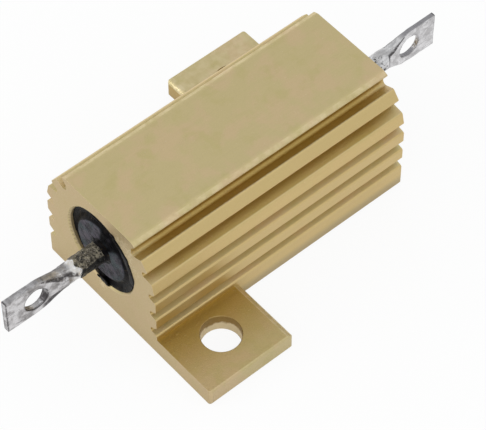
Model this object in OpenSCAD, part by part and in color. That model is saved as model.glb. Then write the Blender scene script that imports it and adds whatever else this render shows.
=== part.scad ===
// Aluminium housed wirewound resistor, chassis-mount type.
// A ceramic core carries a wire winding between two pressed caps. A terminal is welded to each cap,
// the element is moulded into a plug, and the plug fills the bore of a finned aluminium extrusion
// that is screwed down by two tabs on opposite corners.
// X runs along the body and Z is up. The origin is at the middle of the base's underside.

/* [Housing] */
// Length of the extruded body
body_l = 27.1; // [22:0.1:50]
// Width over the side fins
body_w = 14; // [13:0.1:18]
// Height of the flat top
body_h = 12.45; // [11.5:0.05:16]
// Height of the bore's axis over the base
bore_h = 7; // [6.8:0.1:7.3]
// Diameter of the bore
bore_d = 8.2; // [7.6:0.1:8.8]
// Edge break at both mouths of the bore
bore_chamfer = 0.2; // [0.05:0.05:0.4]
// Radius along the two edges of the base
base_edge_r = 0.15; // [0.1:0.05:0.6]
// Width of the flat top between its bevels
top_w = 8.2; // [7.6:0.1:8.8]
// Radius where the flat top rolls into its bevels
top_edge_r = 1; // [0.2:0.1:1.4]

/* [Cooling fins] */
// Most grooves down each side; as many are cut as fit under the uppermost fin
groove_count = 4; // [1:1:6]
// Height of the lowest groove's lower side
groove_first = 2.36; // [2.2:0.01:2.6]
// Distance from one groove to the next
groove_pitch = 2.27; // [2.1:0.01:2.35]
// Height of a groove at its mouth
groove_mouth = 1.08; // [0.8:0.02:1.2]
// Height of a groove at its floor
groove_floor = 0.45; // [0.3:0.05:0.6]
// Rise of a groove's lower side towards its floor
groove_rise = 0.2; // [0:0.05:0.25]
// Depth of the grooves, from the fin above
groove_depth = 0.75; // [0.6:0.05:1.2]
// Radius of the fin tips
fin_tip_r = 0.2; // [0.05:0.01:0.25]
// Diameter of the circle about the bore's axis that the upper fins end on
fin_circle_d = 14; // [13.7:0.1:14.4]
// Radius in the floor of the grooves
groove_r = 0.18; // [0.05:0.01:0.3]
// Width of the neck under the crown
neck_w = 8.3; // [8.1:0.1:8.8]
// Depth of the neck's foot below the flat top
neck_drop = 1.75; // [1.6:0.05:2]
// Radius at the neck's foot
neck_r = 0.35; // [0.05:0.05:0.4]
// Width over the tips of the uppermost fins
shoulder_w = 10.85; // [10.4:0.05:11]
// Depth of the uppermost fins' tips below the flat top
shoulder_drop = 1.2; // [1.05:0.05:1.35]
// Width over the crown's overhanging lips
crown_w = 9.4; // [9.1:0.1:9.8]
// Depth of the crown's overhanging lips below the flat top
lip_drop = 0.25; // [0.15:0.05:0.5]
// Radius of the crown's overhanging lips
lip_r = 0.12; // [0.04:0.02:0.2]

/* [Mounting tabs] */
// Width over both tabs
tab_span = 27.5; // [26:0.1:32]
// Length of a tab along the body
tab_l = 8.9; // [7.5:0.05:12]
// Thickness of a tab
tab_t = 1.85; // [1.5:0.05:2]
// Radius of the tabs' outer corners, seen from above
tab_corner_r = 0.35; // [0.1:0.05:1]
// Radius along the lower edge of a tab's outer face
tab_edge_r = 0.3; // [0.1:0.05:0.7]
// Radius that the punch leaves on a tab's inner end
tab_shear_r = 0.6; // [0.1:0.05:0.9]
// Distance between the mounting holes along the body
hole_pitch_x = 18.3; // [17.5:0.1:19.5]
// Distance between the mounting holes across the body
hole_pitch_y = 19.8; // [19.4:0.1:22]
// Diameter of the mounting holes
hole_d = 3.5; // [2.8:0.1:4]
// Edge break of the mounting holes
hole_chamfer = 0.05; // [0.05:0.05:0.3]

/* [Resistance element] */
// Length of the ceramic core
core_l = 17; // [14:0.5:19]
// Diameter of the ceramic core
core_d = 4.6; // [3.6:0.1:4.9]
// Wall of the pressed steel caps
cap_wall = 0.35; // [0.2:0.05:0.5]
// Length of core that a cap's skirt covers
cap_skirt = 2.2; // [1.6:0.1:3]
// Corner radius of a cap
cap_r = 0.3; // [0.1:0.05:0.5]
// Diameter of the resistance wire
wire_d = 0.3; // [0.15:0.05:0.4]
// Distance between the turns of wire
wire_pitch = 1; // [0.7:0.05:1.6]
// Length of wire laid over each cap's skirt, along the core
wire_lap = 1; // [0.4:0.1:1.4]

/* [Filling and end seals] */
// Diameter of the moulded boss at each end
boss_d = 5.7; // [4.5:0.1:6.6]
// Depth of the boss below the body's end
boss_recess = 0.05; // [0.05:0.05:0.4]
// Corner radius of the boss
boss_r = 0.15; // [0.05:0.05:0.4]
// Thickness of the seal ring at its middle
seal_t = 0.9; // [0.5:0.1:1.5]
// Depth of the seal's middle below the body's end
seal_recess = 0.5; // [0.4:0.05:0.8]
// Height that the seal creeps up its two walls
seal_creep = 0.2; // [0.05:0.05:0.3]

/* [Terminals] */
// Length of a terminal outside the body
terminal_l = 9.8; // [8.5:0.1:13]
// Diameter of the terminal's shank
shank_d = 1.8; // [1.4:0.1:2]
// Length of round shank outside the body
shank_l = 3.8; // [1:0.1:4.5]
// Length over which the shank is pressed flat
flare_l = 3.1; // [2:0.1:4]
// Thickness of the flat lug
lug_t = 0.65; // [0.4:0.05:1]
// Width of the flat lug
lug_w = 3.75; // [2.8:0.05:4.5]
// Radius along the four edges of the flat lug
lug_edge_r = 0.08; // [0.04:0.02:0.18]
// Height of the lug's middle over the shank's axis
lug_rise = -0.2; // [-0.4:0.05:0.4]
// Step that the press leaves where the round shank ends
press_step = 0.03; // [0.02:0.01:0.06]
// Diameter of the lug's hole
lug_hole_d = 2.25; // [1.2:0.05:2.4]
// Distance from the hole to the lug's tip
lug_hole_inset = 2.95; // [1.6:0.05:3]

/* [Fits] */
// Radial clearance between pieces that fit inside one another
fit = 0.02; // [0.01:0.01:0.05]

/* [Hidden] */
$fn = 96;

gold = "#b9a86f";
copper_nickel = "#9a8a78";
tinned = "#c4c4c6";
steel = "#a0a2a5";
porcelain = "#e9e5da";
compound = "#3a3b40";
silicone = "#17171a";

// Points on a small rounded corner, and the overshoot that keeps a cut clear of the face it opens
corner_steps = 4;
over = 1;

// Places along X, measured from the middle of the body
body_end = body_l / 2;
core_end = core_l / 2;
cap_edge = core_end - cap_skirt;
cap_face = core_end + cap_wall;
seal_face = body_end - seal_recess;
seal_back = seal_face - seal_t;
lug_tip = body_end + terminal_l;
lug_hole_x = lug_tip - lug_hole_inset;

// Heights over the base. The crown keeps its form under the flat top, and the grooves stop below it
lip_z = body_h - lip_drop;
shoulder_z = body_h - shoulder_drop;
neck_z = body_h - neck_drop;
groove_room = shoulder_z - groove_first - groove_mouth - 2 * fin_tip_r;
grooves_cut = min(groove_count, 1 + floor(groove_room / groove_pitch));

// Radii about the bore's axis
bore_r = bore_d / 2;
core_r = core_d / 2;
cap_outer_r = core_r + fit + cap_wall;
wire_r = wire_d / 2;
shank_r = shank_d / 2;
boss_outer_r = boss_d / 2;

// The wire is a chain of short straight pieces, so it stands off its seat by the sag of one piece
wire_sides = 6;
wire_steps = 20;
wire_seat = fit + cap_outer_r * (1 / cos(180 / wire_steps) - 1);
wire_ramp = 0.4 * wire_pitch;
wire_at_core = core_r + wire_seat + wire_r;
wire_at_cap = cap_outer_r + wire_seat + wire_r;
wire_end = cap_edge + wire_lap;
wire_rings = ceil(2 * wire_end / wire_pitch * wire_steps);
ramp_top = cap_edge - wire_r - fit;
ramp_foot = ramp_top - wire_ramp;

// Rings and sections of the pressed lug
corner_points = 8;
lug_sides = 4 * corner_points;
lug_sections = 14;

// Outline helpers: a corner [x, y, radius] becomes a short arc, limited by its two sides
function unit(v) = v / norm(v);
function flat(c) = [c[0], c[1]];
function corner_arc(before, at, after) = at[2] == 0 ? [flat(at)] :
    let (
        p = flat(at),
        u = unit(flat(before) - p),
        w = unit(flat(after) - p),
        half = acos(max(-1, min(1, u * w))) / 2,
        room = 0.48 * min(norm(flat(before) - p), norm(flat(after) - p)),
        cut = min(at[2] / tan(half), room),
        r = cut * tan(half),
        centre = p + unit(u + w) * r / sin(half)
    )
    [for (i = [0 : corner_steps])
        let (k = i / corner_steps)
        centre + r * unit((p + u * cut - centre) * (1 - k) + (p + w * cut - centre) * k)];
function rounded(corners) =
    let (n = len(corners))
    [for (i = [0 : n - 1])
        each corner_arc(corners[(i + n - 1) % n], corners[i], corners[(i + 1) % n])];

// The same corners seen in a mirror, in the order that closes the outline
function mirrored_x(corners) =
    [for (i = [len(corners) - 1 : -1 : 0]) [-corners[i][0], corners[i][1], corners[i][2]]];
function mirrored_y(corners) =
    [for (i = [len(corners) - 1 : -1 : 0]) [corners[i][0], -corners[i][1], corners[i][2]]];

// Half width of the body at a height: upright sides, then a circle about the bore's axis
function flank(z) = min(body_w / 2, z <= bore_h ? body_w / 2 : chord(z, fin_circle_d / 2));
function chord(z, r) = sqrt(r * r - pow(z - bore_h, 2));
function groove_z(i) = groove_first + i * groove_pitch;

// One side groove, from its lower lip to its upper lip
function groove_corners(z) =
    let (
        foot = z + groove_rise,
        top = z + groove_mouth,
        floor_y = flank(top) - groove_depth
    )
    [[flank(z), z, fin_tip_r],
     [floor_y, foot, groove_r],
     [floor_y, foot + groove_floor, groove_r],
     [flank(top), top, fin_tip_r]];

// Right half of the cross-section, from the base up to the flat top
side_corners = concat(
    [[body_w / 2, 0, base_edge_r]],
    [for (i = [0 : grooves_cut - 1]) each groove_corners(groove_z(i))],
    [[shoulder_w / 2, shoulder_z, fin_tip_r],
     [neck_w / 2, neck_z, neck_r],
     [neck_w / 2, lip_z - (crown_w - neck_w) / 2, groove_r],
     [crown_w / 2, lip_z, lip_r],
     [top_w / 2, body_h, top_edge_r]]);
section_corners = concat(side_corners, mirrored_x(side_corners));

// Turns a piece drawn along Z so that it lies along X on the bore's axis
module on_axis() {
    translate([0, 0, bore_h])
        rotate([0, 90, 0])
            children();
}

// Both ends of the resistor are alike: the left end is the right end turned about Z
module at_right_end() {
    children();
}

module at_left_end() {
    rotate([0, 0, 180])
        children();
}

module extrusion() {
    rotate([90, 0, 90])
        linear_extrude(height = body_l, center = true)
            polygon(rounded(section_corners));
}

// Tab on the +Y side, flush with the body's right end
module tab() {
    inner = body_end - tab_l;
    root = body_w / 2 - groove_depth;
    outer = tab_span / 2;
    intersection() {
        rotate([90, 0, 0])
            linear_extrude(height = 2 * outer, center = true)
                polygon(rounded([[inner, 0, base_edge_r], [body_end, 0, 0],
                                 [body_end, tab_t, 0], [inner, tab_t, tab_shear_r]]));
        rotate([90, 0, 90])
            linear_extrude(height = 2 * body_end, center = true)
                polygon(rounded([[root, 0, 0], [outer, 0, tab_edge_r],
                                 [outer, tab_t, fin_tip_r], [root, tab_t, 0]]));
        linear_extrude(height = tab_t)
            polygon(rounded([[inner, root, 0], [body_end, root, 0],
                             [body_end, outer, tab_corner_r], [inner, outer, tab_corner_r]]));
    }
}

// Screw hole of the tab on the +Y side, with both edges broken
module mounting_hole() {
    translate([hole_pitch_x / 2, hole_pitch_y / 2, 0]) {
        translate([0, 0, -over])
            cylinder(h = tab_t + 2 * over, d = hole_d);
        edge_break(hole_d / 2, hole_chamfer);
        translate([0, 0, tab_t])
            mirror([0, 0, 1])
                edge_break(hole_d / 2, hole_chamfer);
    }
}

// Cone that breaks the edge of a round hole whose mouth lies at Z = 0 and opens downwards
module edge_break(r, size) {
    translate([0, 0, -size])
        cylinder(h = 2 * size, r1 = r + 2 * size, r2 = r);
}

module housing() {
    color(gold)
        difference() {
            union() {
                extrusion();
                at_right_end() tab();
                at_left_end() tab();
            }
            on_axis() {
                cylinder(h = body_l + 2 * over, r = bore_r, center = true);
                translate([0, 0, -body_end])
                    edge_break(bore_r, bore_chamfer);
                translate([0, 0, body_end])
                    mirror([0, 0, 1])
                        edge_break(bore_r, bore_chamfer);
            }
            at_right_end() mounting_hole();
            at_left_end() mounting_hole();
        }
}

// Half outline of the moulded plug, as radius and place along the axis. The plug is moulded round
// the element, so its inside follows the shank, the cap, the wire on the cap and the wire on the core
plug_face = body_end - boss_recess;
wire_stop = wire_end + wire_r + fit;
wire_climb = ramp_foot - wire_r - fit;
plug_half = [
    [bore_r - fit, seal_back, 0],
    [boss_outer_r, seal_back, 0],
    [boss_outer_r, plug_face, boss_r],
    [shank_r + fit, plug_face, 0],
    [shank_r + fit, cap_face + fit, 0],
    [cap_outer_r + fit, cap_face + fit, 0],
    [cap_outer_r + fit, wire_stop, 0],
    [wire_at_cap + wire_r + fit, wire_stop, 0],
    [wire_at_cap + wire_r + fit, wire_climb, 0],
    [wire_at_core + wire_r + fit, wire_climb, 0]];

module moulded_filling() {
    color(compound)
        on_axis()
            rotate_extrude()
                polygon(rounded(concat(plug_half, mirrored_y(plug_half))));
}

module ceramic_core() {
    color(porcelain)
        on_axis()
            cylinder(h = core_l, r = core_r, center = true);
}

// Pressed cup over the end of the core
module end_cap() {
    color(steel)
        on_axis()
            rotate_extrude()
                difference() {
                    polygon(rounded([[0, cap_edge, 0], [cap_outer_r, cap_edge, 0],
                                     [cap_outer_r, cap_face, cap_r], [0, cap_face, 0]]));
                    translate([0, cap_edge - over])
                        square([core_r + fit, cap_skirt + over]);
                }
}

// Height of the wire's centre over the axis: on the core, or climbing onto a cap near the ends
function ramp(x) =
    let (k = max(0, min(1, (abs(x) - ramp_foot) / wire_ramp)))
    k * k * (3 - 2 * k);
function wire_level(x) = wire_at_core + (wire_at_cap - wire_at_core) * ramp(x);
function wire_ring(i) =
    let (
        x = wire_end * (2 * i / wire_rings - 1),
        turn = 360 * (x + wire_end) / wire_pitch
    )
    [for (j = [0 : wire_sides - 1])
        let (
            a = 360 * j / wire_sides,
            rise = wire_level(x) + wire_r * sin(a)
        )
        [x + wire_r * cos(a), rise * cos(turn), bore_h + rise * sin(turn)]];

// Skin of a tube through rings that each have the same number of points
function tube_faces(rings, sides) = concat(
    [[for (j = [0 : sides - 1]) j]],
    [for (i = [0 : rings - 2], j = [0 : sides - 1])
        let (k = (j + 1) % sides)
        each [[i * sides + j, (i + 1) * sides + j, (i + 1) * sides + k],
              [i * sides + j, (i + 1) * sides + k, i * sides + k]]],
    [[for (j = [sides - 1 : -1 : 0]) (rings - 1) * sides + j]]);

module resistance_winding() {
    points = [for (i = [0 : wire_rings]) each wire_ring(i)];
    color(copper_nickel)
        polyhedron(points, tube_faces(wire_rings + 1, wire_sides));
}

// Section of the lug at x: a circle that flattens into a strip with slightly rounded edges
function squeeze(x) =
    let (k = max(0, min(1, (x - body_end - shank_l) / flare_l)))
    k * k * (3 - 2 * k);
function blend(a, b, k) = a + (b - a) * k;
function lug_ring(x) =
    let (
        k = squeeze(x),
        pressed = sqrt(k),
        tall = blend(shank_r + press_step, lug_w / 2, k),
        thick = blend(shank_r + press_step, lug_t / 2, pressed),
        edge_r = blend(shank_r + press_step, lug_edge_r, pressed),
        middle = bore_h + lug_rise * pressed
    )
    [for (quarter = [0 : 3], j = [0 : corner_points - 1])
        let (
            a = 90 * (quarter + (j + 0.5) / corner_points),
            side_y = (quarter == 0 || quarter == 3) ? 1 : -1,
            side_z = quarter < 2 ? 1 : -1
        )
        [x, side_y * (thick - edge_r) + edge_r * cos(a),
         middle + side_z * (tall - edge_r) + edge_r * sin(a)]];
function lug_x(i) = body_end + shank_l + flare_l * i / (lug_sections - 2);

// Tinned rod, welded to the cap, with its outer end pressed flat and pierced
module terminal() {
    sections = [for (i = [0 : lug_sections - 2]) lug_x(i), lug_tip];
    points = [for (x = sections) each lug_ring(x)];
    color(tinned)
        difference() {
            union() {
                on_axis()
                    translate([0, 0, cap_face])
                        cylinder(h = lug_x(0) - cap_face, r = shank_r);
                polyhedron(points, tube_faces(lug_sections, lug_sides));
            }
            translate([lug_hole_x, 0, bore_h + lug_rise])
                rotate([90, 0, 0])
                    cylinder(h = shank_d + 2 * over, d = lug_hole_d, center = true);
        }
}

// Ring of sealant between boss and bore, dished where it sank while it set
seal_steps = 10;
function seal_front(k) = seal_face + seal_creep * pow(2 * k - 1, 2);
module end_seal() {
    inner = boss_outer_r + fit;
    outer = bore_r - fit;
    color(silicone)
        on_axis()
            rotate_extrude()
                polygon(concat(
                    [[outer, seal_back], [inner, seal_back]],
                    [for (i = [0 : seal_steps])
                        let (k = i / seal_steps)
                        [blend(inner, outer, k), seal_front(k)]]));
}

module end_cap_left() { at_left_end() end_cap(); }
module end_cap_right() { at_right_end() end_cap(); }
module terminal_left() { at_left_end() terminal(); }
module terminal_right() { at_right_end() terminal(); }
module end_seal_left() { at_left_end() end_seal(); }
module end_seal_right() { at_right_end() end_seal(); }

housing();
moulded_filling();
ceramic_core();
resistance_winding();
end_cap_left();
end_cap_right();
terminal_left();
terminal_right();
end_seal_left();
end_seal_right();
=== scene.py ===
"""Aluminium housed resistor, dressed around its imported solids.

The finned extrusion keeps the form of its solid and gets broken edges, drawn grain and a pale gold
chromate finish. The sealant, the moulded boss, the tinned terminals and the flux on them are pieces
of their own. All lengths in the dataclasses are millimetres; the scene itself is in metres.
"""

import logging  # noqa: E402
import math  # noqa: E402
from collections.abc import Callable, Sequence  # noqa: E402
from dataclasses import dataclass, field  # noqa: E402
from enum import Enum  # noqa: E402

import bmesh  # noqa: E402
import bpy  # noqa: E402
from mathutils import Matrix, Vector, kdtree, noise  # noqa: E402


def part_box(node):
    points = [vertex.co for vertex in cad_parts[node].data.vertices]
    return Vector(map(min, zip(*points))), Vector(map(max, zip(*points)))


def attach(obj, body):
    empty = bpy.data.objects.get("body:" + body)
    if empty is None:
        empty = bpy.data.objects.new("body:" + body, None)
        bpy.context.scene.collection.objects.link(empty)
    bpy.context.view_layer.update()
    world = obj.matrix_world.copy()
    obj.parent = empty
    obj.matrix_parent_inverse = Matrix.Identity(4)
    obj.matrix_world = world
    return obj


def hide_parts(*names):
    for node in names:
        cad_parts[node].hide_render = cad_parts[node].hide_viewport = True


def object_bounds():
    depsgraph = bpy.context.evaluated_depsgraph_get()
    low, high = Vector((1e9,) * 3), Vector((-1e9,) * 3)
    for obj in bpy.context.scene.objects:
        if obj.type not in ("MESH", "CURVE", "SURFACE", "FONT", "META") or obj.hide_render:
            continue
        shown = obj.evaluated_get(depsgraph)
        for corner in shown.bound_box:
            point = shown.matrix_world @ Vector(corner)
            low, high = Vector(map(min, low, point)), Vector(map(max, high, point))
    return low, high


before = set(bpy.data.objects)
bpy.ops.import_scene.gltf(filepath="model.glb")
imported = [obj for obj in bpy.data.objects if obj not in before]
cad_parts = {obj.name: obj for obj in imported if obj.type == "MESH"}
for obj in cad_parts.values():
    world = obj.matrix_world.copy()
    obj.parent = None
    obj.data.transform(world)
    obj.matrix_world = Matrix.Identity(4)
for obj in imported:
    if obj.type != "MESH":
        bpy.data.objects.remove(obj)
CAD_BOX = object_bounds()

LOG = logging.getLogger("resistor")

MM = 0.001
ROOT = "root"
MERGE_DISTANCE = 0.002 * MM
NEARLY_ZERO = 1e-4
SKIN_ANGLE = 80.0
SMOOTH = "SMOOTHSTEP"
Tone = tuple[int, int, int]
Span = tuple[float, float]
Change = Callable[[float, float, float, Vector], Span]
Socket = bpy.types.NodeSocket


class End(Enum):
    """The two ends of the resistor, with the direction along X that points out of each."""

    LEFT = -1
    RIGHT = 1

    @property
    def tag(self) -> str:
        """Name of the end as the solids spell it."""
        return self.name.lower()


class Slot(Enum):
    """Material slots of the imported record."""

    HOUSING = "anodised_housing"
    FILLING = "moulding_compound"
    TERMINAL = "tinned_terminal"
    SEAL = "seal"


class Mark(Enum):
    """Shares from zero to one that a mesh carries for its finish to read."""

    # edge wear, and painted highlights on rolled edges and tabs
    WORN = "edge_break"
    # outward faces of the flanks, which get painted light
    FLANK = "flank"
    SAWN = "sawn"
    # painted shade in the grooves, the neck and the tabs' inner ends
    HOLLOW = "hollow"
    BORE = "bore"
    # painted shade across the near tab, next to the flank
    TAB = "tab"
    HOLE = "hole"
    # sealant smear, and painted shadow of the shank
    SMEAR = "smear"
    # painted shade along the lugs' rims and the pressed face's border
    RIM = "rim"
    # darker narrow sides of the lugs
    SHEARED = "sheared"
    # soot, and burnt flux with painted shade on the crust's lower side
    BURNT = "burnt"
    # painted highlight on the tin
    BARE = "bare"


def linear(red: int, green: int, blue: int) -> tuple[float, float, float, float]:
    """Turns a colour as written for a screen into the renderer's linear colour.

    Args:
        red, green, blue: Channels from 0 to 255.

    Returns:
        Linear red, green, blue and an alpha of one.
    """

    def channel(value: int) -> float:
        """One channel of the screen's transfer curve."""
        share = value / 255
        return share / 12.92 if share <= 0.04045 else ((share + 0.055) / 1.055) ** 2.4

    return channel(red), channel(green), channel(blue), 1.0


# --------------------------------------------------------------------------- node sheets


def emptied(owner: bpy.types.Material | bpy.types.World) -> bpy.types.NodeTree:
    """Switches on the nodes of a material or a world, clears them and returns their tree."""
    owner.use_nodes = True
    owner.node_tree.nodes.clear()
    return owner.node_tree


class NodeSheet:
    """A node tree with short calls that add a node and wire its inputs."""

    def __init__(self, tree: bpy.types.NodeTree) -> None:
        """Wraps a tree.

        Args:
            tree: The material's, world's or group's own tree.
        """
        self.tree = tree

    def feed(self, socket: Socket, value: object) -> None:
        """Sets an input to a constant, or links an output to it."""
        if isinstance(value, Socket):
            self.tree.links.new(value, socket)
        else:
            socket.default_value = value

    def add(self, kind: str, inputs: dict | None = None, **settings: object) -> bpy.types.Node:
        """Adds a node.

        Args:
            kind: Blender's name for the node type.
            inputs: Constants or output sockets by input name or index.
            settings: Attributes of the node, such as an operation.

        Returns:
            The new node.
        """
        node = self.tree.nodes.new(kind)
        for name, value in settings.items():
            setattr(node, name, value)
        for key, value in (inputs or {}).items():
            self.feed(node.inputs[key], value)
        return node

    def maths(self, operation: str, *values: object) -> Socket:
        """Adds a Math node and returns its output."""
        return self.add("ShaderNodeMath", dict(enumerate(values)), operation=operation).outputs[0]

    def remap(self, value: object, low: object, high: object, to_low: float = 0.0, to_high: float = 1.0,
              curve: str = "LINEAR") -> Socket:
        """Maps a range of values onto another range with clamping, and returns the output."""
        return self.add("ShaderNodeMapRange", {
            "Value": value, "From Min": low, "From Max": high, "To Min": to_low, "To Max": to_high},
            interpolation_type=curve).outputs["Result"]

    def between(self, mask: Socket, low: float, high: float) -> Socket:
        """A value that goes from low to high as a mask goes from zero to one."""
        return self.remap(mask, 0.0, 1.0, low, high)

    def attribute(self, mark: Mark) -> Socket:
        """Reads a mark that the mesh carries, and returns the value output."""
        return self.add("ShaderNodeAttribute", attribute_name=mark.value).outputs["Fac"]

    def mix(self, factor: object, first: object, second: object, blend: str = "MIX") -> Socket:
        """Mixes two colours and returns the colour output."""
        return self.add("ShaderNodeMix", {0: factor, 6: first, 7: second},
                        data_type="RGBA", blend_type=blend).outputs[2]

    def tint(self, colour: object, over: Tone | Socket, mask: Socket, share: float = 1.0) -> Socket:
        """Lays a tone over a colour.

        Args:
            colour: What lies underneath.
            over: The tone, or a colour output in its place.
            mask: Where the tone lies.
            share: How much of the tone shows where the mask is one.

        Returns:
            The colour output.
        """
        second = over if isinstance(over, Socket) else linear(*over)
        return self.mix(mask if share == 1.0 else self.maths("MULTIPLY", mask, share), colour, second)

    def place(self, group: bpy.types.NodeTree, **inputs: float) -> Socket:
        """Places a shared effect with its own values and returns its output."""
        return self.add("ShaderNodeGroup", inputs, node_tree=group).outputs[0]

    def axis(self, letter: str) -> Socket:
        """One of the object coordinates, in metres."""
        place = self.add("ShaderNodeTexCoord").outputs["Object"]
        return self.add("ShaderNodeSeparateXYZ", {0: place}).outputs[letter]

    def vector(self, operation: str, first: object, second: object, output: str = "Vector") -> Socket:
        """Adds a Vector Math node and returns one of its outputs."""
        return self.add("ShaderNodeVectorMath", {0: first, 1: second}, operation=operation).outputs[output]

    def millimetres(self, stretch: tuple[float, float, float] = (1, 1, 1)) -> Socket:
        """Object coordinates in millimetres, stretched along the axes."""
        place = self.add("ShaderNodeTexCoord").outputs["Object"]
        return self.vector("MULTIPLY", place, [share / MM for share in stretch])

    def cloud(self, place: Socket, **inputs: object) -> Socket:
        """Smooth noise at a place, from zero to one."""
        return self.add("ShaderNodeTexNoise", {"Vector": place, **inputs}).outputs["Fac"]


class EffectGroups:
    """Shader node groups that several finishes share. Each is built once."""

    def __init__(self) -> None:
        """Builds the groups."""
        self.mottle = self._mottle()
        self.drawn = self._drawn()
        self.speckle = self._speckle()
        self.wear = self._wear()
        self.scuff = self._scuff()
        self.streaks = self._streaks()

    @staticmethod
    def _new(name: str, **inputs: float) -> tuple[NodeSheet, bpy.types.bpy_prop_collection, Socket]:
        """Starts a group.

        Args:
            name: Name of the group.
            inputs: Its inputs, with the value that each has unless it is given another.

        Returns:
            The group's sheet, its inputs by name and the socket that takes its one result.
        """
        tree = bpy.data.node_groups.new(name, "ShaderNodeTree")
        for label, value in inputs.items():
            socket = tree.interface.new_socket(label, in_out="INPUT", socket_type="NodeSocketFloat")
            socket.default_value = value
        tree.interface.new_socket("Value", in_out="OUTPUT", socket_type="NodeSocketFloat")
        sheet = NodeSheet(tree)
        return sheet, sheet.add("NodeGroupInput").outputs, sheet.add("NodeGroupOutput").inputs["Value"]

    def _mottle(self) -> bpy.types.NodeTree:
        """Cloudy patches: how far a point lies towards the second tone."""
        sheet, given, out = self._new("mottle", Scale=0.3, Detail=4.0, Low=0.4, High=0.6, Shift=0.0)
        shifted = sheet.vector("ADD", sheet.millimetres(), given["Shift"])
        cloud = sheet.cloud(shifted, Scale=given["Scale"], Detail=given["Detail"], Roughness=0.6)
        sheet.feed(out, sheet.remap(cloud, given["Low"], given["High"], curve=SMOOTH))
        return sheet.tree

    def _drawn(self) -> bpy.types.NodeTree:
        """Fine lines that extrusion leaves along X."""
        sheet, given, out = self._new("drawn_lines", Scale=6.0, Waviness=0.3)
        sheet.feed(out, sheet.cloud(sheet.millimetres((0.02, 1, 1)), Scale=given["Scale"], Detail=5.0,
                                    Roughness=0.62, Distortion=given["Waviness"]))
        return sheet.tree

    def _speckle(self) -> bpy.types.NodeTree:
        """Small separate grains."""
        sheet, given, out = self._new("speckle", Scale=8.0, Size=0.2, Softness=0.1, Share=0.5)
        cells = sheet.add("ShaderNodeTexVoronoi", {"Vector": sheet.millimetres(), "Scale": given["Scale"]})
        edge = sheet.maths("ADD", given["Size"], given["Softness"])
        grain = sheet.remap(cells.outputs["Distance"], given["Size"], edge, 1.0, 0.0)
        tint = sheet.add("ShaderNodeSeparateColor", {0: cells.outputs["Color"]})
        kept = sheet.maths("LESS_THAN", tint.outputs[0], given["Share"])
        sheet.feed(out, sheet.maths("MULTIPLY", grain, kept))
        return sheet.tree

    def _wear(self) -> bpy.types.NodeTree:
        """Worn edges and painted highlights, from the mark that the broken edges and some rolled faces carry.
        """
        sheet, given, out = self._new("edge_wear", Amount=0.6, Scale=1.5)
        rub = sheet.cloud(sheet.millimetres(), Scale=given["Scale"], Detail=3.0)
        worn = sheet.maths("MULTIPLY", sheet.attribute(Mark.WORN), sheet.remap(rub, 0.35, 0.65))
        sheet.feed(out, sheet.maths("MULTIPLY", worn, given["Amount"]))
        return sheet.tree

    def _scuff(self) -> bpy.types.NodeTree:
        """A rubbed patch round a point, with ragged borders. The point and the radius are millimetres."""
        sheet, given, out = self._new("scuff", X=0.0, Y=0.0, Z=0.0, Radius=1.0, Share=0.5)
        centre = sheet.add("ShaderNodeCombineXYZ", {letter: given[letter] for letter in "XYZ"})
        place = sheet.millimetres()
        away = sheet.vector("DISTANCE", place, centre.outputs[0], "Value")
        inside = sheet.remap(sheet.maths("DIVIDE", away, given["Radius"]), 0.4, 1.0, 1.0, 0.0)
        rub = sheet.cloud(place, Scale=5.5, Detail=6.0, Roughness=0.75)
        needed = sheet.maths("SUBTRACT", 1.0, sheet.maths("MULTIPLY", inside, given["Share"]))
        over = sheet.maths("SUBTRACT", rub, sheet.maths("MULTIPLY", needed, 0.62))
        sheet.feed(out, sheet.remap(over, 0.0, 0.07))
        return sheet.tree

    def _streaks(self) -> bpy.types.NodeTree:
        """Broad streaks along X, as a press or a dip leaves them."""
        sheet, given, out = self._new("streaks", Scale=2.0, Low=0.4, High=0.6)
        lines = sheet.cloud(sheet.millimetres((0.22, 1, 1)), Scale=given["Scale"], Detail=4.0,
                            Roughness=0.6, Distortion=0.8)
        sheet.feed(out, sheet.remap(lines, given["Low"], given["High"], curve=SMOOTH))
        return sheet.tree


# --------------------------------------------------------------------------- finishes


class MaterialSheet(NodeSheet):
    """The nodes of one material, with its Principled shader and the shared effects at hand."""

    def __init__(self, material: bpy.types.Material, groups: EffectGroups) -> None:
        """Clears a material and gives it its shader.

        Args:
            material: The material.
            groups: The shared effects.
        """
        super().__init__(emptied(material))
        self.groups = groups
        self.shader = self.add("ShaderNodeBsdfPrincipled")
        self.add("ShaderNodeOutputMaterial", {"Surface": self.shader.outputs["BSDF"]})

    def mottle(self, **inputs: float) -> Socket:
        """Places cloudy patches with their own values."""
        return self.place(self.groups.mottle, **inputs)

    def speckle(self, **inputs: float) -> Socket:
        """Places small grains with their own values."""
        return self.place(self.groups.speckle, **inputs)

    def give(self, **inputs: object) -> None:
        """Sets or links inputs of the shader, whose names are written with underscores for spaces."""
        for name, value in inputs.items():
            self.feed(self.shader.inputs[name.replace("_", " ")], value)

    def coat(self, colour: Socket, roughness: Socket, *heights: tuple[object, float]) -> None:
        """Wires a colour, a roughness and a chain of bumps into the shader.

        Args:
            colour: The surface's colour.
            roughness: Its roughness.
            heights: One or more heights, each with its depth in millimetres.
        """
        below = {}
        for height, depth in heights:
            bump = self.add("ShaderNodeBump", {
                "Height": height, "Strength": 1.0, "Distance": depth * MM, **below})
            below = {"Normal": bump.outputs["Normal"]}
        self.give(Base_Color=colour, Roughness=roughness, **below)


class Finish:
    """Base of the finishes: makes a material."""

    name: str

    def material(self, groups: EffectGroups) -> bpy.types.Material:
        """Builds the material.

        Args:
            groups: The shared effects.

        Returns:
            The finished material.
        """
        material = bpy.data.materials.new(self.name)
        self.wire(MaterialSheet(material, groups))
        return material

    def wire(self, sheet: MaterialSheet) -> None:
        """Wires colour, gloss and relief. Each finish has its own."""
        raise NotImplementedError


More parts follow.
